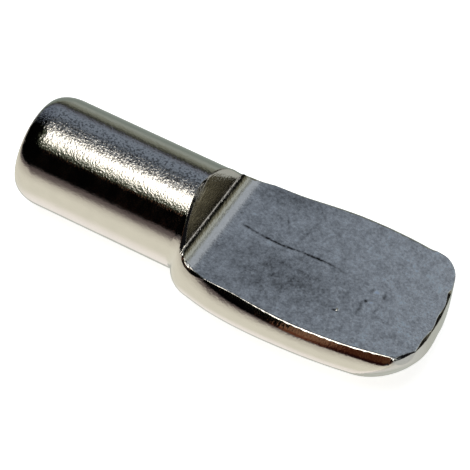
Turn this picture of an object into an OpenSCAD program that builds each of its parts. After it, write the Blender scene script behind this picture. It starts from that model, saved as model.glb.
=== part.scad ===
// Shelf support pin: a round pin for a drilled hole, forged in one piece
// with a flat-topped paddle that the shelf rests on.
// Millimetres. +X runs along the pin axis toward the paddle tip, +Z is normal
// to the paddle's flat. The origin is on the pin axis, in the plane where the
// full round of the pin ends and the sloping shoulder begins.

/* [Pin] */
// Diameter of the round pin, for a 1/4 inch hole
pin_d = 6.35; // [5.5:0.05:7]
// Length of the pin, from its rounded end to the shoulder
pin_len = 10.38; // [8:0.02:16]
// How far the end rounding reaches along the pin
end_round_len = 1.4; // [1:0.1:2.5]
// How far the end rounding reaches in from the pin's surface
end_round_in = 0.7; // [0.5:0.05:1.6]
// How far the middle of the end face stands out
end_crown = 0.05; // [0:0.01:0.2]

/* [Shoulder] */
// Slope of the shoulder face, measured from the flat
shoulder_deg = 73.7; // [69.7:0.5:78.7]
// Distance of the shoulder's top edge from the origin plane
shoulder_at = 0.11; // [0:0.01:0.2]
// How far the shoulder face is hollowed, at the level of the flat
shoulder_hollow = 0.12; // [0:0.01:0.2]
// Radius of the hollow corner between the shoulder face and the flat
shoulder_fillet = 1.25; // [0.6:0.05:1.4]
// Step of the crease line where the hollow corner begins
shoulder_crease = 0.06; // [0:0.005:0.1]
// Radius in plan where the pin widens into the paddle
neck_r = 1.5; // [1.3:0.05:2.2]
// Small blend radius where the paddle's side meets the pin
neck_blend = 0.3; // [0.2:0.05:0.6]

/* [Paddle] */
// Height of the flat above the pin axis
flat_h = 0.7; // [0.5:0.05:0.9]
// Length from the shoulder plane to the paddle tip
paddle_len = 14.52; // [12.5:0.02:17]
// Greatest width of the paddle, at its widest level
paddle_w = 9.68; // [9:0.02:10.2]
// Distance from the shoulder plane to the widest place
widest_at = 8.16; // [7:0.02:9]
// How far below the pin's lowest line the paddle's underside reaches
under_drop = 0.025; // [0.02:0.005:0.2]
// How much the underside rises toward the tip
under_rise = 0.3; // [0:0.02:0.5]
// Sideways offset of the paddle's middle line at the neck
mid_off = -0.18; // [-0.3:0.01:0]
// Sideways lean of the forged paddle, in degrees
lean_deg = 2.7; // [0:0.1:4]
// Corner radius of the tip, seen from above, at the flat
tip_corner_r = 0.84; // [0.7:0.01:1.4]
// Corner radius of the tip lower down, where it rounds under
tip_under_r = 2.52; // [1.8:0.02:2.8]
// Slant of the tip edge, across the width, per mm
tip_slant = 0.085; // [0:0.005:0.12]
// Bow of the tip edge
tip_bow = 0.039; // [0:0.001:0.05]
// How deep the near tip corner is cut off, from the square corner
corner_cut = 1.23; // [1.1:0.01:1.5]

/* [Edges] */
// How far the sides turn in under the rim
side_turn = 0.085; // [0:0.005:0.12]
// Narrow bevel along the tip's upper edge
tip_bevel = 0.08; // [0.02:0.01:0.12]
// Radius of the rim along the sides
rim_r = 0.16; // [0.06:0.01:0.24]

/* [Hidden] */
$fn = 96;
pin_r = pin_d / 2;
neck_x = -0.2;
neck_lean = 0.04;
// how much the shoulder face bows, per square mm below the pin's top
bow = shoulder_hollow / pow(pin_r - flat_h, 2);
// half height of the skin that the flat die takes off the forging
skin = 0.03;
sub_r = pin_r - 0.1;
// the full round of the pin stops this far short of the shoulder plane
round_end = 0.35;
// plane that takes the near tip corner
chip_n = [0.806, -0.481, 0.342];
chip_at = 0.806 * paddle_len + 0.481 * paddle_w / 2 - corner_cut;
// line of centres inside the paddle that its skin is measured from
mid_z = -1.2;
x_l = 1.6;
x_r = paddle_len - 3.1;
NM = 13;   // places along each side
NR = 25;   // places round the tip
NL = 35;   // places round the inner end
K = 2 * NM + NR + NL;
NLOW = 12; // rings below the rim

// ---- small helpers -------------------------------------------------------
function clamp01(t) = min(max(t, 0), 1);
function ease(t) = let (s = clamp01(t)) s * s * (3 - 2 * s);
// rounded "both" and rounded "either" of two signed distances
function rmax(a, b, r) =
    min(max(a, b), -r) + norm([max(a + r, 0), max(b + r, 0)]);
function rmin(a, b, r) = -rmax(-a, -b, r);
// "both", with an edge of true radius r between walls whose normals have
// cosine c
function edged(a, b, r, c) =
    let (u = a + r, v = b + r, w = 1 - c * c,
         p = (u - c * v) / w, q = (v - c * u) / w)
    p > 0 && q > 0 ? sqrt(max(p * p + q * q + 2 * c * p * q, 0)) - r
                   : max(a, b);

// ---- the paddle's form ---------------------------------------------------
// 1 toward the neck, 0 from the paddle's middle on; and the same close by it
function neckward(x) = 1 - ease((x - 3.5) / 4.5);
function at_neck(x) = 1 - ease((x - 0.6) / 2.6);
// level of the widest line, and the oval's depth and height from there
function wide_z(x) = -0.45 - 0.25 * neckward(x);
function deep(x) =
    pin_r + under_drop + wide_z(x) - under_rise * ease((x - 5.2) / 6);
function high(x) = 3 + 0.2 * neckward(x) + 0.75 * at_neck(x);
// half width at that level
function half_w(x) =
    paddle_w / 2 - 0.07 * neckward(x) - 0.15 * at_neck(x)
    - (x < widest_at ? 0.0125 : 0.0208) * pow(x - widest_at, 2);
// middle line, straight at the neck and leaning toward the tip
function mid_y(x) =
    mid_off + tan(lean_deg) / 2 * ((x - 4.16) + sqrt(pow(x - 4.16, 2) + 1.5));
// signed distance, nearly, from the oval section
function d_oval(x, y, z) =
    let (w = half_w(x), v = y - mid_y(x), u = z - wide_z(x),
         h = u < 0 ? deep(x) : high(x),
         k = sqrt(pow(v / w, 2) + pow(u / h, 2)) + 1e-9,
         g = sqrt(pow(v / (w * w), 2) + pow(u / (h * h), 2)) / k)
    max((k - 1) / max(g, 1e-3), -3);
function tip_x(v) = paddle_len - tip_slant * v - tip_bow * v * v;
// the die's surface: hollowed shoulder, crease, hollow corner and flat
function shoulder_x(z) =
    shoulder_at + ((pin_r - z) * cos(shoulder_deg)
                   + bow * pow(max(pin_r - z, 0), 2)) / sin(shoulder_deg);
function d_die(x, z) =
    let (s = (x - shoulder_x(z)) * sin(shoulder_deg))
    min(s, -edged(-s - shoulder_crease, flat_h - z, shoulder_fillet,
                  cos(shoulder_deg)));
function d_paddle(x, y, z) =
    let (s = ease((flat_h - 0.15 - z) / 1.7),
         rt = tip_corner_r + (tip_under_r - tip_corner_r) * s,
         neck = (neck_x + neck_lean * z - x) / norm([1, neck_lean]),
         a = rmax(d_oval(x, y, z), neck, neck_r),
         b = rmax(a, x - tip_x(y - mid_y(x)), rt),
         stub = max(norm([y, z]) - sub_r, x - 1.2),
         c = rmin(stub, b, 0.01 + neck_blend * ease((z + 2) / 1.5)),
         die = d_die(x, z),
         // the wall turns in just under the rim
         far = ease(y / 2),
         turn = -0.04 + (side_turn + 0.04) * ease((x - 1.6) / 3)
                + 0.025 * ease((x - paddle_len + 3.32) / 1.4)
                - 0.3 * ease((x - paddle_len + 1.02 + 1.8 * far) / (0.5 + far)),
         d = edged(c, 0.82 * c + 0.29 * die + turn,
                   0.2 + 0.9 * ease((x - 0.8) / 3), 0.965),
         // narrow bevels at the neck and across the tip
         foot = 0.07 - 0.2 * ease((x - 1.6) / 2.4)
                - 0.12 * (1 - ease((x - 0.7) / 0.3)),
         e = edged(d, 0.75 * d + 0.45 * die + foot, 0.05, 0.8),
         tip = tip_bevel - 0.03 * ease((-2.1 - y) / 0.6)
               - 0.2 * ease((paddle_len - 0.62 - x) / 1.2)
               - 0.2 * ease((y - 2) / 0.9),
         f = edged(e, 0.655 * e + 0.756 * die + tip, 0.02, 0.7),
         rim = 0.045 + (rim_r - 0.045) * ease((x - 4.4) / 2.2)
                       * (1 - ease((x - paddle_len + 2.02) / 1.2)))
    max(edged(f, die - skin, rim, 0.85 - 0.13 * ease((x - 0.8) / 0.5)),
        -0.55 - x);

// distance along a ray from a centre to the skin, by halving
function reach(o, d, a, b, n) =
    n == 0 ? (a + b) / 2
    : let (m = (a + b) / 2, p = o + m * d)
      d_paddle(p[0], p[1], p[2]) < 0 ? reach(o, d, m, b, n - 1)
                                     : reach(o, d, a, m, n - 1);

// centre and heading of place k round the outline: near side, tip, far side,
// inner end
function place(k) =
    k < NM ? [x_l + (x_r - x_l) * k / (NM - 1), -90]
    : k < NM + NR ? [x_r, -90 + 180 * (k - NM + 1) / (NR + 1)]
    : k < 2 * NM + NR ? [x_r - (x_r - x_l) * (k - NM - NR) / (NM - 1), 90]
    : [x_l, 90 + 180 * (k - 2 * NM - NR + 1) / (NL + 1)];

// where a ray at elevation e leaves the paddle
function leaves(o, c, s, e) =
    let (d = [c * cos(e), s * cos(e), sin(e)]) o + reach(o, d, 0, 9, 22) * d;
// elevation at which the wall gives way to what the die leaves
function rim_at(o, c, s, a, b, n) =
    n == 0 ? (a + b) / 2
    : let (m = (a + b) / 2, p = leaves(o, c, s, m))
      d_die(p[0], p[2]) > skin - 0.004 ? rim_at(o, c, s, a, m, n - 1)
                                       : rim_at(o, c, s, m, b, n - 1);
// degrees from there at which the rim is followed
rim_steps = [-8, -5.6, -4, -3, -2.2, -1.5, -0.8, -0.2, 1.5];
function column(k) =
    let (q = place(k), o = [q[0], mid_y(q[0]), mid_z],
         c = cos(q[1]), s = sin(q[1]),
         e1 = rim_at(o, c, s, 10, 84, 11))
    [for (j = [0 : NLOW - 1]) leaves(o, c, s, -84 + (e1 + 76) * j / NLOW),
     for (t = rim_steps) leaves(o, c, s, e1 + t),
     leaves(o, c, s, (e1 + 90) / 2)];
NRING = NLOW + len(rim_steps) + 1;

function at(k, j) = (k % K) * NRING + j;
// the strip that closes a ring: pairs of places across, and a fan at each end
function lid(j) = concat(
    [for (i = [0 : NM - 2]) each
        let (a = i, b = i + 1, f = 2 * NM + NR - 1 - i, g = f - 1)
        [[at(a, j), at(b, j), at(g, j)], [at(a, j), at(g, j), at(f, j)]]],
    [for (i = [NM : NM + NR - 1]) [at(NM - 1, j), at(i, j), at(i + 1, j)]],
    [for (i = [2 * NM + NR : K - 1])
        [at(0, j), at(i - 1, j), at(i, j)]]);
function flip(t) = [t[0], t[2], t[1]];

module paddle_blank() {
    cols = [for (k = [0 : K - 1]) column(k)];
    pts = [for (c = cols) each c];
    side = [for (k = [0 : K - 1]) for (j = [0 : NRING - 2]) each
        [[at(k, j), at(k, j + 1), at(k + 1, j + 1)],
         [at(k, j), at(k + 1, j + 1), at(k + 1, j)]]];
    polyhedron(points = pts, convexity = 4,
        faces = concat(side, [for (t = lid(NRING - 1)) flip(t)], lid(0)));
}

// ---- the round pin -------------------------------------------------------
module pin_blank() {
    n = 14;
    edge = [for (i = [0 : n])
        [pin_r - end_round_in + end_round_in * sin(90 * i / n),
         end_round_len * (1 - cos(90 * i / n))]];
    translate([-pin_len, 0, 0]) rotate([0, 90, 0])
        rotate_extrude()
            // true cylinder up to the shoulder, then stock with a slight draft
            // that runs on under the shoulder into the paddle
            polygon(concat([[0, 0 - end_crown]], edge,
                [[pin_r, pin_len - round_end],
                 [pin_r - 0.01, pin_len + 2.6], [0, pin_len + 2.6]]));
}

// ---- what the flat die clears away: all above the shoulder and the flat ---
module die_space() {
    r = shoulder_fillet;
    // slope of the face where the hollow corner leaves it, and the corner
    // where that slope and the flat would meet
    zf = flat_h + 0.6;
    fa = atan2(sin(shoulder_deg),
               cos(shoulder_deg) + 2 * bow * (pin_r - zf));
    cx = shoulder_x(zf) + (zf - flat_h) / tan(fa) - shoulder_crease / sin(fa);
    tl = r * tan(fa / 2);
    n = 10;
    rotate([90, 0, 0]) linear_extrude(height = 24, center = true)
        difference() {
            polygon(concat(
                [[30, flat_h], [30, 12], [shoulder_x(12), 12]],
                [for (i = [0 : n])
                    let (z = pin_r + (flat_h - pin_r) * i / n)
                    [shoulder_x(z), z]]));
            difference() {
                polygon([[cx - 0.5, flat_h - 0.01], [cx + tl, flat_h - 0.01],
                         [cx + tl, flat_h + r],
                         [cx - tl * cos(fa), flat_h + tl * sin(fa)]]);
                translate([cx + tl, flat_h + r]) circle(r = r);
            }
        }
}

// ---- the corner that is cut off at the near side of the tip ---------------
module corner_space() {
    c = [paddle_len - 0.9, 0.7 - paddle_w / 2, -0.5];
    s = chip_at - chip_n * (c - [0, 0, flat_h]);
    translate(c + chip_n * s / (chip_n * chip_n))
        rotate(a = acos(chip_n[2] / norm(chip_n)), v = [0.481, 0.806, 0])
            translate([-6, -6, 0]) cube([12, 12, 4]);
}

// ---- the part ------------------------------------------------------------
module support_pin() {
    color("#b4b6ba")
    difference() {
        union() {
            pin_blank();
            paddle_blank();
        }
        die_space();
        corner_space();
    }
}

support_pin();
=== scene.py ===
"""Looks of the shelf support pin: a nickel-plated forging on a pale table in a small studio."""

import math

import bmesh
import bpy
import numpy as np
from mathutils import Matrix, Vector


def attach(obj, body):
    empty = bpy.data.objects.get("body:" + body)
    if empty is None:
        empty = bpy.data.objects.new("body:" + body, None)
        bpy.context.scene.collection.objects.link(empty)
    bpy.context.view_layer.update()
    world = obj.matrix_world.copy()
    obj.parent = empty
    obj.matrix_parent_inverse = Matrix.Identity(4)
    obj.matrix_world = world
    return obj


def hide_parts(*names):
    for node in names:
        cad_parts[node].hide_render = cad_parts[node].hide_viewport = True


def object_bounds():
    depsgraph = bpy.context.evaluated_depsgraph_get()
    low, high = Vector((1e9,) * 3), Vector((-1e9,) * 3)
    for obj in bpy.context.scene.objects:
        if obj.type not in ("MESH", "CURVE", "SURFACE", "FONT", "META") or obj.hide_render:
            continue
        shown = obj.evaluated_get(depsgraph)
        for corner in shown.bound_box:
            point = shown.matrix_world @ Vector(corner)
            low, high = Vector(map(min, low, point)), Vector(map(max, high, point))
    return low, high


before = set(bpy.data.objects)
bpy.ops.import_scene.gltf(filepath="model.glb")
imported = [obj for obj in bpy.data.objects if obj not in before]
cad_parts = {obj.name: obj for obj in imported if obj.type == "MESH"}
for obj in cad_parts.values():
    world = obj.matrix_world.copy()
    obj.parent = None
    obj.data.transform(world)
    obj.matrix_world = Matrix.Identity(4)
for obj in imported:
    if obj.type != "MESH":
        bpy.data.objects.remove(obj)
cad_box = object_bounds()

MM = 0.001

# ---------------------------------------------------------------------------
# The pin's form, in millimetres, as one smooth signed field (negative inside)
# ---------------------------------------------------------------------------
R = 3.175  # pin radius
PIN_LEN, END_L, END_IN, CROWN = 10.38, 1.4, 0.7, 0.05
SHOULDER, SHOULDER_AT, SHOULDER_BOW = math.radians(73.7), 0.11, 0.0196
FILLET, CREASE = 1.25, 0.06
NECK_R, NECK_BLEND, NECK_X, NECK_LEAN = 1.5, 0.3, -0.2, 0.04
NECK_HIGH, NECK_SLIM = 0.75, 0.15
FLAT, LENGTH, WIDTH, WIDEST = 0.7, 14.52, 9.686, 8.16
DROP, RISE, WIDE_Z, WIDE_DIP, HIGH, HIGHER, SLIM = 0.025, 0.3, -0.45, 0.25, 3.0, 0.2, 0.07
CUT_NECK, CUT_SIDE = -0.04, 0.085
MID_OFF, LEAN = -0.177, math.radians(2.7)
TIP_TOP_R, TIP_LOW_R, TIP_SLANT, TIP_BOW = 0.84, 2.52, 0.085, 0.039
CHIP_X, CHIP_Y, CHIP_Z, CHIP_AT = 0.806, -0.481, 0.342, 12.8  # plane that takes the near tip corner


def smax(a, b, r):
    """Both, with a rounded edge of radius r."""
    return np.minimum(np.maximum(a, b), -r) + np.hypot(
        np.maximum(a + r, 0), np.maximum(b + r, 0)
    )


def smin(a, b, r):
    """Either, with a hollow of radius r."""
    return -smax(-a, -b, r)


def corner(a, b, r, c):
    """Both, with an edge of true radius r between walls whose normals have cosine c."""
    u, v = a + r, b + r
    p, q = (u - c * v) / (1 - c * c), (v - c * u) / (1 - c * c)
    arc = np.sqrt(np.maximum(p * p + q * q + 2 * c * p * q, 0)) - r
    return np.where((p > 0) & (q > 0), arc, np.maximum(a, b))


def ease(t):
    s = np.clip(t, 0, 1)
    return s * s * (3 - 2 * s)


def mid_y(x):
    return MID_OFF + math.tan(LEAN) / 2 * ((x - 4.16) + np.sqrt((x - 4.16) ** 2 + 1.5))


def field(x, y, z):
    rr = np.hypot(y, z)
    # round pin with an elliptic end rounding and a faint crown
    u = np.maximum(rr - (R - END_IN), 0) / END_IN
    v = np.maximum(-PIN_LEN + END_L - x, 0) / END_L
    face = -PIN_LEN - CROWN * (1 - np.clip(rr / (R - END_IN), 0, 1) ** 2) - x
    outer = rr > R - END_IN
    end = np.where(outer, (np.hypot(u, v) - 1) * END_IN, face)
    pin = np.where(
        x > -PIN_LEN + END_L, rr - R, np.maximum(end, np.where(outer, -9.0, face))
    )
    pin = np.maximum(pin, x - 1.2)
    # oval paddle
    neckward = 1 - ease((x - 3.5) / 4.5)
    at_neck = 1 - ease((x - 0.6) / 2.6)
    wide_z = WIDE_Z - WIDE_DIP * neckward
    w = WIDTH / 2 - np.where(x < WIDEST, 0.0125, 0.0208) * (x - WIDEST) ** 2 - SLIM * neckward
    w = w - NECK_SLIM * at_neck
    q = y - mid_y(x)
    h = np.where(z < wide_z, R + DROP + wide_z - RISE * ease((x - 5.2) / 6), HIGH + HIGHER * neckward + NECK_HIGH * at_neck)
    s = z - wide_z
    k = np.sqrt((q / w) ** 2 + (s / h) ** 2) + 1e-9
    g = np.sqrt((q / w**2) ** 2 + (s / h**2) ** 2) / k
    oval = np.clip((k - 1) / np.maximum(g, 1e-3), -3, 30)
    neck = (NECK_X + NECK_LEAN * z - x) / math.hypot(1, NECK_LEAN)
    body = smax(oval, neck, NECK_R)
    tip = x - (LENGTH - TIP_SLANT * q - TIP_BOW * q * q)
    bend = TIP_TOP_R + (TIP_LOW_R - TIP_TOP_R) * ease((FLAT - 0.15 - z) / 1.7)
    body = smax(body, tip, bend)
    chip = CHIP_X * x + CHIP_Y * y + CHIP_Z * (z - FLAT) - CHIP_AT
    body = corner(body, chip, 0.12, 0.85)
    d = smin(pin, body, 0.01 + NECK_BLEND * ease((z + 2) / 1.5))
    # the flat die: sloping shoulder, a crease at its foot, hollow corner, flat
    slope = (x - SHOULDER_AT) * math.sin(SHOULDER) + (z - R) * math.cos(SHOULDER)
    slope = slope - SHOULDER_BOW * np.clip(R - z, 0, 3) ** 2
    flat = FLAT + 0.03 * np.exp(-np.maximum(x - 1.5, 0) / 0.3)
    hollow = -corner(-slope - CREASE, flat - z, FILLET, math.cos(SHOULDER))
    die = -corner(-slope, -hollow, 0.1, 0.95)
    # along the sides the wall turns in just under the rim
    cut = CUT_NECK + (CUT_SIDE - CUT_NECK) * ease((x - 1.6) / 3.0)
    cut = cut + 0.025 * ease((x - 11.2) / 1.4) - 0.3 * ease((x - 13.5 + 1.8 * ease(y / 2)) / (0.5 + ease(y / 2)))
    d = corner(d, 0.82 * d + 0.29 * die + cut, 0.2 + 0.9 * ease((x - 0.8) / 3.0), 0.965)
    # narrow bevels: round the shoulder's edge, at the neck, and across the tip
    edge = 0.03 + 0.05 * ease((0.3 - y) / 0.5) + 0.06 * ease((2.3 - z) / 1.0)
    edge = edge - 0.3 * ease((x - 0.72) / 0.25)
    d = corner(d, 0.43 * d + 0.785 * die + edge, 0.02, 0.7)
    foot = 0.07 - 0.2 * ease((x - 1.6) / 2.4) - 0.12 * (1 - ease((x - 0.7) / 0.3))
    d = corner(d, 0.75 * d + 0.45 * die + foot, 0.05, 0.8)
    streak = 0.035 - 0.3 * (1 - ease((0.98 - z) / 0.1) + ease((x - 1.45) / 0.25))
    streak = streak - 0.1 * (1 - ease((x - 0.75) / 0.3))
    d = corner(d, 0.524 * d + 0.629 * die + streak, 0.02, 0.85)
    heel = 0.1 * x - 0.46 * y + 0.88 * z - 2.69
    heel = heel - 2 * (1 - ease((x - 0.7) / 0.15)) - 3 * ease((x - 1.35) / 1.5)
    d = corner(d, heel, 0.02, 0.7)
    lay = 0.655 - 0.02 * np.clip(q, 0, 3)
    tip_edge = 0.08 + 0.028 * np.cos(3.6 * (y - 0.3)) - 0.03 * ease((-2.1 - y) / 0.6)
    tip_edge = tip_edge - 0.2 * ease((13.9 - x) / 1.2) - 0.2 * ease((y - 2.0) / 0.9)
    d = corner(d, lay * d + np.sqrt(1 - lay * lay) * die + tip_edge, 0.02, 0.7)
    rim = 0.045 + 0.12 * ease((x - 4.4) / 2.2) - 0.12 * ease((x - 12.5) / 1.2)
    rim = rim * (1 + 0.3 * np.sin(10 * x + 1.5 * np.sin(3.1 * x)) * ease((x - 1.5) / 1.0))
    return corner(d, die, rim, 0.85 - 0.13 * ease((x - 0.8) / 0.5))


def gradient(p, h=1e-3):
    g = np.empty_like(p)
    for i in range(3):
        e = np.zeros(3)
        e[i] = h
        a, b = p + e, p - e
        g[:, i] = (field(*a.T) - field(*b.T)) / (2 * h)
    return g


def settle(p, steps=4):
    """Moves points onto the surface."""
    for _ in range(steps):
        g = gradient(p)
        f = field(*p.T)
        m = np.maximum((g * g).sum(1), 0.05)
        p = p - np.clip(f / m, -0.15, 0.15)[:, None] * g
    return p


def skin_mesh(h):
    """Quads that follow the surface: one point in each cell it crosses, then settled and evened out."""
    lo = np.array([-PIN_LEN - 0.35, -5.25, -3.55])
    hi = np.array([LENGTH + 0.45, 5.2, 3.5])
    n = np.ceil((hi - lo) / h).astype(int) + 1
    ax = [lo[i] + h * np.arange(n[i]) for i in range(3)]
    f = np.empty(n)
    for i in range(n[0]):
        f[i] = field(ax[0][i], ax[1][:, None], ax[2][None, :])
    inside = f < 0
    cells = n - 1
    total = np.zeros((*cells, 3))
    count = np.zeros(cells)
    quads = []
    for a in range(3):
        b, c = (a + 1) % 3, (a + 2) % 3
        s0 = [slice(None)] * 3
        s1 = [slice(None)] * 3
        s0[a], s1[a] = slice(0, -1), slice(1, None)
        cross = np.argwhere(inside[tuple(s0)] != inside[tuple(s1)])
        up = np.array([0, 0, 0])
        up[a] = 1
        f0 = f[tuple(cross.T)]
        f1 = f[tuple((cross + up).T)]
        t = f0 / (f0 - f1)
        place = cross.astype(float)
        place[:, a] += t
        ring = []
        for db, dc in ((0, 0), (-1, 0), (-1, -1), (0, -1)):
            cell = cross.copy()
            cell[:, b] += db
            cell[:, c] += dc
            np.add.at(total, tuple(cell.T), place)
            np.add.at(count, tuple(cell.T), 1)
            ring.append(np.ravel_multi_index(tuple(cell.T), cells))
        ring = np.stack(ring, 1)
        ring[f0 > 0] = ring[f0 > 0][:, ::-1]
        quads.append(ring)
    used = np.flatnonzero(count.ravel())
    index = np.full(count.size, -1)
    index[used] = np.arange(len(used))
    p = lo + h * total.reshape(-1, 3)[used] / count.ravel()[used][:, None]
    quads = index[np.concatenate(quads)]
    p = settle(p)
    a = np.concatenate([quads[:, [0, 1]], quads[:, [1, 2]], quads[:, [2, 3]], quads[:, [3, 0]]])
    a = np.unique(np.sort(a, 1), axis=0)
    deg = np.bincount(a.ravel(), minlength=len(p)).astype(float)
    for _ in range(6):
        s = np.stack(
            [
                np.bincount(a[:, 0], p[a[:, 1], i], len(p))
                + np.bincount(a[:, 1], p[a[:, 0], i], len(p))
                for i in range(3)
            ],
            1,
        )
        g = gradient(p)
        g /= np.maximum(np.linalg.norm(g, axis=1, keepdims=True), 1e-9)
        d = s / deg[:, None] - p
        d -= (d * g).sum(1, keepdims=True) * g
        p = settle(p + 0.5 * d, 1)
    return settle(p, 3), quads


def unit_normals(p):
    g = gradient(p)
    return g / np.maximum(np.linalg.norm(g, axis=1, keepdims=True), 1e-9)


points, quads = skin_mesh(0.12)
mesh = bpy.data.meshes.new("support_pin_forging")
mesh.vertices.add(len(points))
mesh.vertices.foreach_set("co", points.astype(np.float32).ravel())
mesh.loops.add(quads.size)
mesh.loops.foreach_set("vertex_index", quads.ravel().astype(np.int32))
mesh.polygons.add(len(quads))
mesh.polygons.foreach_set("loop_start", np.arange(0, quads.size, 4, dtype=np.int32))
mesh.update(calc_edges=True)
mesh.validate()
# finer wherever the surface turns quickly: rims, crease, neck and cut corner
for level_no in range(2):
    bm = bmesh.new()
    bm.from_mesh(mesh)
    bm.verts.ensure_lookup_table()
    bm.edges.ensure_lookup_table()
    p = np.array([v.co[:] for v in bm.verts])
    e = np.array([[v.index for v in edge.verts] for edge in bm.edges])
    n = unit_normals(p)
    sharp = (n[e[:, 0]] * n[e[:, 1]]).sum(1) < math.cos(math.radians(7.0))
    hot = np.zeros(len(p), bool)
    hot[e[sharp].ravel()] = True
    chosen = [bm.edges[i] for i in np.flatnonzero(hot[e].any(1))]
    bmesh.ops.subdivide_edges(bm, edges=chosen, cuts=1, use_grid_fill=True)
    bm.verts.index_update()
    p = settle(np.array([v.co[:] for v in bm.verts]))
    for v, c in zip(bm.verts, p):
        v.co = c
    bm.to_mesh(mesh)
    bm.free()
points = np.empty(3 * len(mesh.vertices))
mesh.vertices.foreach_get("co", points)
points = settle(points.reshape(-1, 3))
normals = unit_normals(points)
mesh.vertices.foreach_set("co", (points * MM).astype(np.float32).ravel())
mesh.polygons.foreach_set("use_smooth", np.ones(len(mesh.polygons), bool))
mesh.update()
mesh.normals_split_custom_set_from_vertices(normals.tolist())
print("skin:", len(points), "points,", sum(len(f.vertices) - 2 for f in mesh.polygons), "triangles")
pin = bpy.data.objects.new("support_pin_forging", mesh)
bpy.context.scene.collection.objects.link(pin)


# ---------------------------------------------------------------------------
# Nickel plate
# ---------------------------------------------------------------------------
class Tree:
    """A few shorthands for shader nodes."""

    def __init__(self, tree):
        self.t = tree

    def node(self, kind, **values):
        n = self.t.nodes.new(kind)
        for k, v in values.items():
            setattr(n, k, v)
        return n

    def put(self, socket, value):
        if isinstance(value, bpy.types.NodeSocket):
            self.t.links.new(value, socket)
        elif value is not None:
            socket.default_value = value

    def math(self, op, a, b=None, c=None, clamp=False):
        n = self.node("ShaderNodeMath", operation=op, use_clamp=clamp)
        for i, v in enumerate((a, b, c)):
            self.put(n.inputs[i], v)
        return n.outputs[0]

    def vec(self, op, a, b=None, out=0):
        n = self.node("ShaderNodeVectorMath", operation=op)
        self.put(n.inputs[0], a)
        self.put(n.inputs[1], b)
        return n.outputs[out]

    def xyz(self, v):
        n = self.node("ShaderNodeSeparateXYZ")
        self.put(n.inputs[0], v)
        return n.outputs[0], n.outputs[1], n.outputs[2]

    def scale(self, v, s):
        n = self.node("ShaderNodeMapping", vector_type="POINT")
        self.put(n.inputs["Vector"], v)
        n.inputs["Scale"].default_value = s
        return n.outputs[0]

    def noise(self, v, scale, detail=2.0, rough=0.5, distort=0.0):
        n = self.node("ShaderNodeTexNoise", noise_dimensions="3D")
        self.put(n.inputs["Vector"], v)
        n.inputs["Scale"].default_value = scale
        n.inputs["Detail"].default_value = detail
        n.inputs["Roughness"].default_value = rough
        n.inputs["Distortion"].default_value = distort
        return n.outputs["Fac"]

    def ramp(self, v, a, b, lo=0.0, hi=1.0, smooth=True):
        n = self.node(
            "ShaderNodeMapRange",
            interpolation_type="SMOOTHSTEP" if smooth else "LINEAR",
            clamp=True,
        )
        for i, x in enumerate((v, a, b, lo, hi)):
            self.put(n.inputs[i], x)
        return n.outputs[0]

    def mix(self, f, a, b):
        n = self.node("ShaderNodeMix", data_type="RGBA")
        self.put(n.inputs["Factor"], f)
        for k, v in ((6, a), (7, b)):
            if isinstance(v, tuple) and len(v) == 3:
                v = (*v, 1.0)
            self.put(n.inputs[k], v)
        return n.outputs[2]


PLATE = (0.78, 0.72, 0.63)  # what the plate reflects, seen square on


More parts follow.
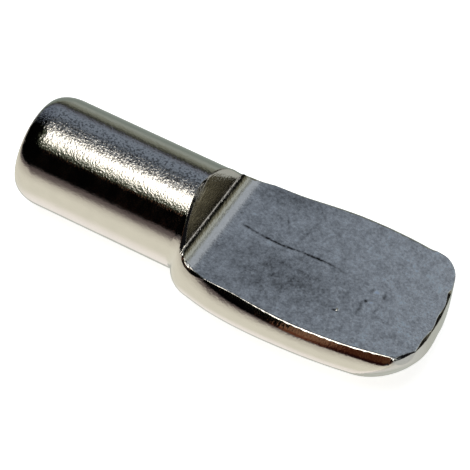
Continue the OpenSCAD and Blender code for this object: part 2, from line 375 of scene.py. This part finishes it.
def nickel_material():
    m = bpy.data.materials.new("nickel_plate")
    m.use_nodes = True
    t = Tree(m.node_tree)
    b = m.node_tree.nodes["Principled BSDF"]
    b.inputs["Metallic"].default_value = 1.0
    co = t.node("ShaderNodeTexCoord").outputs["Object"]
    p = t.scale(co, (1000.0, 1000.0, 1000.0))  # in millimetres
    x, y, z = t.xyz(p)

    def dab(x0, y0, ru, rv=None, deg=0.0):
        """1 at a place on the flat, falling off over an oval turned by deg."""
        c, q = math.cos(math.radians(deg)), math.sin(math.radians(deg))
        u = t.math("MULTIPLY_ADD", x, c / ru, t.math("MULTIPLY_ADD", y, q / ru, -(c * x0 + q * y0) / ru))
        rv = rv or ru
        v = t.math("MULTIPLY_ADD", x, -q / rv, t.math("MULTIPLY_ADD", y, c / rv, (q * x0 - c * y0) / rv))
        d2 = t.math("MULTIPLY_ADD", u, u, t.math("MULTIPLY", v, v))
        return t.math("EXPONENT", t.math("MULTIPLY", d2, -1.0))

    def add(total, amount, v):
        return t.math("MULTIPLY_ADD", v, amount, total)

    # fine spiky peel of the plating, strongest along the top of the pin and weakest low on its side,
    # with small waves of the forging under it
    peel = t.noise(p, 5.5, 2.0, 0.65)
    fine = t.noise(p, 14.0, 1.0, 0.5)
    cloud = t.noise(p, 0.9, 3.0, 0.55)
    waves = t.noise(p, 1.1, 1.0, 0.5)
    spike = t.noise(p, 9.0, 2.0, 0.6)
    turn = t.math("MULTIPLY", t.math("ARCTAN2", z, t.math("MULTIPLY", y, -1.0)), 180 / math.pi)
    on_pin = t.ramp(x, 0.6, 0.2)
    # none of it reaches the end face, where the bands round the pin would run to a point
    wall = t.math("MULTIPLY_ADD", y, y, t.math("MULTIPLY", z, z))
    on_pin = t.math("MULTIPLY", on_pin, t.ramp(wall, 6.7, 8.1))
    spiky = t.math("MULTIPLY", t.ramp(turn, 63.0, 72.0), t.ramp(turn, 91.0, 83.0))
    spiky = t.math("MULTIPLY", spiky, on_pin)
    calm = t.math("MULTIPLY", t.ramp(turn, 50.0, 44.0), on_pin)
    amount = t.math("MULTIPLY_ADD", calm, -0.0055, 0.0095)
    height = t.math("MULTIPLY", peel, amount)
    height = t.math("MULTIPLY_ADD", t.math("MULTIPLY", spike, 0.03), spiky, height)
    olive = t.math("MULTIPLY", t.math("MULTIPLY", t.ramp(turn, 43.0, 49.0), t.ramp(turn, 65.0, 59.0)), on_pin)
    height = t.math("MULTIPLY_ADD", t.math("MULTIPLY", spike, 0.014), olive, height)
    height = t.math("MULTIPLY_ADD", fine, 0.0015, height)
    height = t.math("MULTIPLY_ADD", waves, 0.008, height)
    # marks in the flat: a draw line along it and a few small pits, the pits painted as lighter and darker spots
    # with their glints and shade painted in; the flat also carries soft darker patches near its middle as
    # painted shade and is painted lighter towards the tip as a painted reflection
    line_y = t.math("COSINE", t.math("MULTIPLY_ADD", x, 1.083, -4.87))
    line_y = t.math("MULTIPLY_ADD", line_y, -0.1, 0.3)
    off = t.math("SUBTRACT", y, line_y)
    line = t.math("EXPONENT", t.math("MULTIPLY", t.math("MULTIPLY", off, off), -1 / 0.07**2))
    broken = t.ramp(t.noise(p, 2.6, 2.0, 0.6), 0.36, 0.56, 0.3, 1.0)
    strong = t.math("MULTIPLY", t.ramp(x, 2.2, 2.7), t.ramp(x, 8.6, 7.2, 0.25, 1.0))
    strong = t.math("MULTIPLY", strong, t.ramp(x, 10.6, 10.0))
    line = t.math("MULTIPLY", t.math("MULTIPLY", line, broken), strong)
    foot = t.math("MULTIPLY_ADD", x, -0.23, 1.16)  # the edge of the paler wedge below the line
    wedge = t.math("ADD", y, foot)
    wedge_line = t.math("EXPONENT", t.math("MULTIPLY", t.math("MULTIPLY", wedge, wedge), -1 / 0.09**2))
    wedge_line = t.math("MULTIPLY", wedge_line, t.ramp(x, 6.4, 5.2))
    wedge = t.math("MULTIPLY", t.ramp(wedge, -0.05, 0.12), t.ramp(off, -0.05, -0.15))
    wedge = t.math("MULTIPLY", wedge, t.ramp(x, 6.2, 5.0))
    grain = t.noise(p, 6.5, 3.0, 0.7)
    patch = t.noise(p, 1.5, 3.0, 0.6)
    # painted reflection: the flat is painted lighter towards the tip
    flat_tone_marks_and_painted_light = t.ramp(x, 3.0, 13.0, 0.93, 1.13, smooth=False)
    flat_tone_marks_and_painted_light = add(flat_tone_marks_and_painted_light, 1.6, t.math("SUBTRACT", grain, 0.5))
    flat_tone_marks_and_painted_light = add(flat_tone_marks_and_painted_light, 1.15, t.math("SUBTRACT", patch, 0.5))
    flat_tone_marks_and_painted_light = add(flat_tone_marks_and_painted_light, -0.95, line)
    flat_tone_marks_and_painted_light = add(flat_tone_marks_and_painted_light, 0.16, wedge)
    flat_tone_marks_and_painted_light = add(flat_tone_marks_and_painted_light, 0.13, wedge_line)
    # painted shade: soft darker patches near the flat's middle
    patchy_painted_shade = t.math("MULTIPLY_ADD", t.noise(p, 3.2, 2.0, 0.6), 1.6, 0.2)
    flat_tone_marks_and_painted_light = add(flat_tone_marks_and_painted_light, -0.36, t.math("MULTIPLY", dab(6.4, -1.7, 3.4, 1.7, 4.0), patchy_painted_shade))
    flat_tone_marks_and_painted_light = add(flat_tone_marks_and_painted_light, -0.34, t.math("MULTIPLY", dab(3.9, 3.3, 1.9, 0.55, 8.0), patchy_painted_shade))
    flat_tone_marks_and_painted_light = add(flat_tone_marks_and_painted_light, -0.22, t.math("MULTIPLY", dab(6.2, -0.93, 1.7, 0.12, -2.0), patchy_painted_shade))
    # small pits, drawn as painted lighter and darker spots: their glints and shade are painted in
    for x0, y0, ru, rv, deg, k in (
        (4.45, 1.8, 0.5, 0.07, -56.0, -0.2),
        (5.7, 1.6, 0.9, 0.1, 80.0, -0.13),
        (10.81, -0.02, 0.16, 0.11, 20.0, 0.34),
        (10.62, -0.02, 0.09, 0.16, 0.0, -0.22),
        (11.32, -0.02, 0.1, 0.24, 18.0, -0.3),
        (10.6, -0.83, 0.1, 0.08, 0.0, -0.5),
        (10.86, -0.8, 0.2, 0.07, 25.0, 0.28),
        (11.36, -1.16, 0.08, 0.22, -15.0, -0.3),
        (10.54, -1.5, 0.07, 0.3, 0.0, -0.28),
        (10.45, -1.05, 0.07, 0.2, 0.0, -0.2),
        (9.42, -2.26, 0.1, 0.1, 0.0, -0.35),
        (11.0, 0.93, 0.14, 0.1, 0.0, 0.2),
        (12.04, 2.5, 0.12, 0.1, 0.0, 0.16),
        (12.65, 2.5, 0.12, 0.1, 0.0, 0.13),
        (12.27, 0.12, 0.12, 0.07, 30.0, 0.16),
        (13.6, 1.0, 0.3, 0.07, 25.0, 0.12),
        (2.6, 1.37, 0.1, 0.08, 0.0, 0.25),
    ):
        flat_tone_marks_and_painted_light = add(flat_tone_marks_and_painted_light, 2.1 * k, dab(x0, y0, ru, rv, deg))
    dot = dab(9.56, -2.17, 0.075)
    flat_tone_marks_and_painted_light = add(flat_tone_marks_and_painted_light, 0.2, dot)
    on_flat = t.math("MULTIPLY", t.ramp(z, 0.55, 0.66), t.ramp(x, 1.3, 2.0))
    height = t.math("MULTIPLY_ADD", dot, 0.042, height)
    bump = t.node("ShaderNodeBump")
    bump.inputs["Strength"].default_value = 1.0
    bump.inputs["Distance"].default_value = MM
    t.put(bump.inputs["Height"], height)
    t.put(b.inputs["Normal"], bump.outputs[0])
    t.put(b.inputs["Roughness"], t.ramp(cloud, 0.3, 0.7, 0.06, 0.12))
    plate_tone_and_painted_specks = t.mix(t.ramp(cloud, 0.3, 0.7), PLATE, tuple(1.04 * c for c in PLATE))
    # painted dark specks along the pin's top: painted shade that stands in for the overhead light's reflection
    # broken up by the peel
    salt = t.noise(p, 7.0, 2.0, 0.7)
    painted_speck_mask = t.math("MULTIPLY", t.ramp(turn, 64.0, 70.0), t.ramp(turn, 104.0, 88.0))
    painted_speck_mask = t.math("MULTIPLY", t.math("MULTIPLY", painted_speck_mask, on_pin), t.ramp(salt, 0.52, 0.40))
    plate_tone_and_painted_specks = t.mix(t.math("MULTIPLY", painted_speck_mask, 0.75), plate_tone_and_painted_specks, tuple(0.12 * c for c in PLATE))
    marked_flat_with_painted_light = t.node("ShaderNodeVectorMath", operation="SCALE")
    t.put(marked_flat_with_painted_light.inputs[0], PLATE)
    t.put(marked_flat_with_painted_light.inputs["Scale"], flat_tone_marks_and_painted_light)
    # the flat's base colour carries its marks together with painted reflection and shade
    t.put(b.inputs["Base Color"], t.mix(on_flat, plate_tone_and_painted_specks, marked_flat_with_painted_light.outputs[0]))
    return m


mesh.materials.append(nickel_material())
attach(pin, "root")
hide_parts("support_pin")

# ---------------------------------------------------------------------------
# Table, studio and camera
# ---------------------------------------------------------------------------
scene = bpy.context.scene
scene.view_settings.view_transform = "Standard"
table_z = cad_box[0].z


def plane(name, size, z):
    me = bpy.data.meshes.new(name)
    s = size / 2
    me.from_pydata([(-s, -s, z), (s, -s, z), (s, s, z), (-s, s, z)], [], [(0, 1, 2, 3)])
    o = bpy.data.objects.new(name, me)
    scene.collection.objects.link(o)
    return o


table = plane("table", 4.0, table_z)
m = bpy.data.materials.new("pale_table")
m.use_nodes = True
b = m.node_tree.nodes["Principled BSDF"]
b.inputs["Base Color"].default_value = (0.9, 0.9, 0.9, 1)
b.inputs["Roughness"].default_value = 0.9
b.inputs["Specular IOR Level"].default_value = 0.0
b.inputs["Emission Color"].default_value = (1.0, 1.0, 0.99, 1)
b.inputs["Emission Strength"].default_value = 0.78
table.data.materials.append(m)
table.visible_glossy = False

# a pale backdrop all round that only the camera sees
dome = bpy.data.meshes.new("backdrop")
verts, faces = [], []
for j in range(13):
    e = math.radians(-4 + 94 * j / 12)
    for i in range(48):
        a = 2 * math.pi * i / 48
        verts.append((1.9 * math.cos(e) * math.cos(a), 1.9 * math.cos(e) * math.sin(a), 1.9 * math.sin(e)))
for j in range(12):
    for i in range(48):
        k = (i + 1) % 48
        faces.append((j * 48 + i, j * 48 + k, j * 48 + 48 + k, j * 48 + 48 + i))
dome.from_pydata(verts, [], faces)
dome_o = bpy.data.objects.new("backdrop", dome)
scene.collection.objects.link(dome_o)
m = bpy.data.materials.new("pale_backdrop")
m.use_nodes = True
m.node_tree.nodes.clear()
e = m.node_tree.nodes.new("ShaderNodeEmission")
e.inputs["Color"].default_value = (0.93, 0.93, 0.93, 1)
o = m.node_tree.nodes.new("ShaderNodeOutputMaterial")
m.node_tree.links.new(e.outputs[0], o.inputs["Surface"])
dome.materials.append(m)
for flag in ("visible_glossy", "visible_diffuse", "visible_shadow", "visible_transmission"):
    setattr(dome_o, flag, False)

# The studio round it, as the metal sees it. Directions are in degrees: az 0 is +X, 90 the far side,
# -90 the near side; el is height above the horizon. A soft light hangs overhead, the near and left
# sides are dark, the far side is slate over a shaded floor, and the pale table lies all round.
world = bpy.data.worlds.new("studio")
scene.world = world
world.use_nodes = True
world.node_tree.nodes.clear()
w = Tree(world.node_tree)
d = w.node("ShaderNodeTexCoord").outputs["Generated"]
dx, dy, dz = w.xyz(w.vec("NORMALIZE", d))
el = w.math("MULTIPLY", w.math("ARCSINE", dz), 180 / math.pi)
az = w.math("MULTIPLY", w.math("ARCTAN2", dy, dx), 180 / math.pi)
# distance in degrees from the middle of the soft light, in a plan view round the zenith
flat_len = w.math("SQRT", w.math("MULTIPLY_ADD", dx, dx, w.math("MULTIPLY_ADD", dy, dy, 1e-9)))
drop = w.math("SUBTRACT", 90.0, el)
pu = w.math("MULTIPLY", drop, w.math("DIVIDE", dx, flat_len))
pv = w.math("MULTIPLY", drop, w.math("DIVIDE", dy, flat_len))


def times(*v):
    r = v[0]
    for x in v[1:]:
        r = w.math("MULTIPLY", r, x)
    return r


def rest(v):
    return w.math("SUBTRACT", 1.0, v)


def around(centre, half, soft):
    """1 within half degrees of this azimuth, falling to 0 over soft degrees each way."""
    off = w.math("ABSOLUTE", w.math("WRAP", w.math("SUBTRACT", az, centre), 180.0, -180.0))
    return w.ramp(off, half + soft, half - soft)


def level(lo, hi):
    """0 at lo degrees of height, 1 at hi."""
    return w.ramp(el, lo, hi)


def seen(r, g, b):
    """Studio colour that the plate shows as this screen colour."""
    return tuple(
        (((c / 255 + 0.055) / 1.055) ** 2.4 if c > 10 else c / 255 / 12.92) / p
        for c, p in zip((r, g, b), PLATE)
    )


def oval(u, v, ru, rv):
    """Distance from (u, v) in the plan view, in radii of an oval."""
    return w.math(
        "SQRT",
        w.math(
            "ADD",
            w.math("POWER", w.math("MULTIPLY_ADD", pu, 1 / ru, -u / ru), 2.0),
            w.math("POWER", w.math("MULTIPLY_ADD", pv, 1 / rv, -v / rv), 2.0),
        ),
    )


halo = oval(-6.0, -18.0, 16.1, 15.8)  # the bright middle of the light
veil = oval(-6.0, -3.0, 19.5, 27.0)  # its dimmer far half
# everything not seen from the front: a mid grey room
col = w.mix(level(-6, 0), seen(130, 130, 128), seen(14, 14, 15))
col = w.mix(level(0, -18), col, seen(172, 172, 166))
col = w.mix(level(-18, -45), col, seen(196, 192, 182))
# far side: slate above, a dark line, olive-beige below
far = around(91.0, 61.0, 3.0)
line = w.math("MULTIPLY_ADD", w.math("MAXIMUM", w.math("SUBTRACT", az, 108.0), 0.0), -1.1, 28.5)
lift = w.math("SUBTRACT", el, line)
slate = w.mix(w.ramp(az, 114.5, 84.0, smooth=False), seen(108, 115, 124), seen(150, 155, 160))
slate = w.mix(w.ramp(az, 118.0, 145.0), slate, seen(92, 98, 108))
slate = w.mix(w.ramp(lift, 16.0, 4.0), slate, seen(84, 84, 90))
slate = w.mix(w.ramp(veil, 1.42, 1.25), slate, seen(40, 44, 46))
low = w.mix(w.ramp(lift, -3.0, -16.0), seen(60, 60, 50), seen(112, 113, 100))
low = w.mix(w.ramp(lift, -16.0, -26.0), low, seen(134, 137, 127))
low = w.mix(level(0.0, -10.0), low, seen(114, 120, 110))
low = w.mix(level(-14.0, -60.0), low, seen(170, 168, 154))
back = w.mix(w.ramp(lift, 2.0, -2.0), slate, low)
back = w.mix(times(w.ramp(lift, -4.5, -0.5), w.ramp(lift, 4.5, 0.5)), back, seen(36, 37, 32))
col = w.mix(far, col, back)
# past the tip: pale floor, a bright line at the wall's foot, dark above it, then a beige wall
end = around(40.0, 24.0, 5.0)
wall = w.mix(level(19.5, 31.0), seen(8, 8, 6), seen(108, 105, 88))
wall = w.mix(level(30.5, 36.0), wall, seen(152, 154, 146))
wall = w.mix(w.ramp(w.math("ABSOLUTE", w.math("SUBTRACT", el, 44.5)), 3.0, 1.0), wall, seen(98, 101, 96))
wall = w.mix(level(45.0, 50.0), wall, seen(140, 144, 146))
wall = w.mix(times(level(11.0, 8.5), w.ramp(az, 50.0, 44.0)), wall, seen(170, 167, 160))
wall = w.mix(level(3.5, 1.0), wall, seen(66, 62, 54))
wall = w.mix(level(-1.0, -12.0), wall, seen(150, 150, 141))
wall = w.mix(level(-15.0, -60.0), wall, seen(184, 182, 172))
col = w.mix(end, col, wall)
# near side and the pin's own end: black
near = around(-156.5, 50.5, 2.0)
dark = seen(1.5, 1.5, 1.5)
edge = w.math("ABSOLUTE", w.math("WRAP", w.math("ADD", az, 109.0), 180.0, -180.0))
edge = w.math("MAXIMUM", w.math("MULTIPLY_ADD", edge, -0.17, -2.5), -20.0)
dip = w.math("SUBTRACT", el, edge)
aside = w.math("ABSOLUTE", w.math("WRAP", w.math("ADD", az, 109.0), 180.0, -180.0))
aside = w.ramp(aside, 5.0, 18.0)
dip = w.math("MULTIPLY_ADD", dip, w.math("MULTIPLY_ADD", aside, 1.5, 1.0), w.math("MULTIPLY", aside, -5.0))
col = w.mix(times(near, w.ramp(dip, -4.0, 10.0)), col, dark)
brown = around(-88.0, 18.5, 2.5)
rust = w.mix(w.ramp(az, -99.0, -90.0), seen(112, 80, 58), seen(52, 22, 12))
rust = w.mix(w.ramp(az, -84.0, -80.0), rust, seen(70, 44, 27))
rust_low = w.mix(w.ramp(az, -99.0, -90.0), seen(88, 50, 33), seen(28, 9, 8))
rust = w.mix(level(28.0, 14.0), rust, rust_low)
brown = times(brown, rest(level(64.0, 72.0)))
brown = times(brown, w.math("MAXIMUM", w.ramp(az, -106.0, -102.5), rest(level(-4.0, 4.0))))
col = w.mix(brown, col, rust)
# near table
wide = around(-130.0, 82.0, 12.0)
cream = w.mix(level(-6.0, -34.0), seen(168, 160, 146), seen(205, 199, 181))
cream = w.mix(level(-50.0, -72.0), cream, seen(226, 217, 205))
col = w.mix(times(wide, w.ramp(dip, 9.0, 0.0)), col, seen(88, 78, 74))
col = w.mix(times(wide, w.ramp(dip, -1.0, -16.0)), col, cream)
# the soft light overhead, with its glow
glow = w.mix(w.ramp(halo, 1.48, 1.08), seen(76, 80, 62), seen(150, 154, 138))
col = w.mix(w.ramp(halo, 1.86, 1.4), col, glow)
dim = w.mix(w.ramp(pv, 3.0, -9.0), seen(156, 158, 160), seen(232, 232, 230))
dim = w.mix(w.ramp(pv, 4.0, 17.0), dim, seen(62, 66, 68))
col = w.mix(w.ramp(veil, 1.22, 1.0), col, seen(30, 34, 34))
col = w.mix(w.ramp(veil, 0.98, 0.88), col, dim)
col = w.mix(w.ramp(halo, 1.0, 0.9), col, (3.0, 3.0, 2.95))
bg = w.node("ShaderNodeBackground")
w.put(bg.inputs["Color"], col)
bg.inputs["Strength"].default_value = 1.0
out = w.node("ShaderNodeOutputWorld")
world.node_tree.links.new(bg.outputs[0], out.inputs["Surface"])


def area(name, place, aim, size, power, colour=(1, 1, 1), glossy=True):
    ld = bpy.data.lights.new(name, "AREA")
    ld.shape = "DISK"
    ld.size = size
    ld.energy = power
    ld.color = colour
    o = bpy.data.objects.new(name, ld)
    scene.collection.objects.link(o)
    o.location = place
    o.rotation_euler = (Vector(aim) - Vector(place)).to_track_quat("-Z", "Y").to_euler()
    o.visible_glossy = glossy
    return o


area("table_light", (-0.1, -0.1, 0.7), (0, 0, 0), 0.8, 1.6, glossy=False)

# camera, from the pin's own geometry: its place, and how it is turned about its line of sight
el0, az0, dist = math.radians(49.25), math.radians(25.9), 154.4
back = Vector((math.cos(el0) * math.sin(az0), -math.cos(el0) * math.cos(az0), math.sin(el0)))
target = Vector((2.16, 0, 0))
right = (Vector((1, 0, 0)) - back.x * back).normalized()
down = right.cross(back).normalized()
if down.z > 0:
    down = -down
turn = math.radians(25.15)
cx = math.cos(turn) * right - math.sin(turn) * down
cy = -(math.sin(turn) * right + math.cos(turn) * down)
cam_data = bpy.data.cameras.new("camera")
cam_data.sensor_width = 36.0
cam_data.lens = 36.0 * 2837.8 / 470.0
cam_data.clip_start = 0.005
cam_data.clip_end = 10.0
cam = bpy.data.objects.new("camera", cam_data)
scene.collection.objects.link(cam)
rot = Matrix((cx, cy, back)).transposed().to_4x4()
cam.matrix_world = Matrix.Translation((target + dist * back) * MM) @ rot
scene.camera = cam
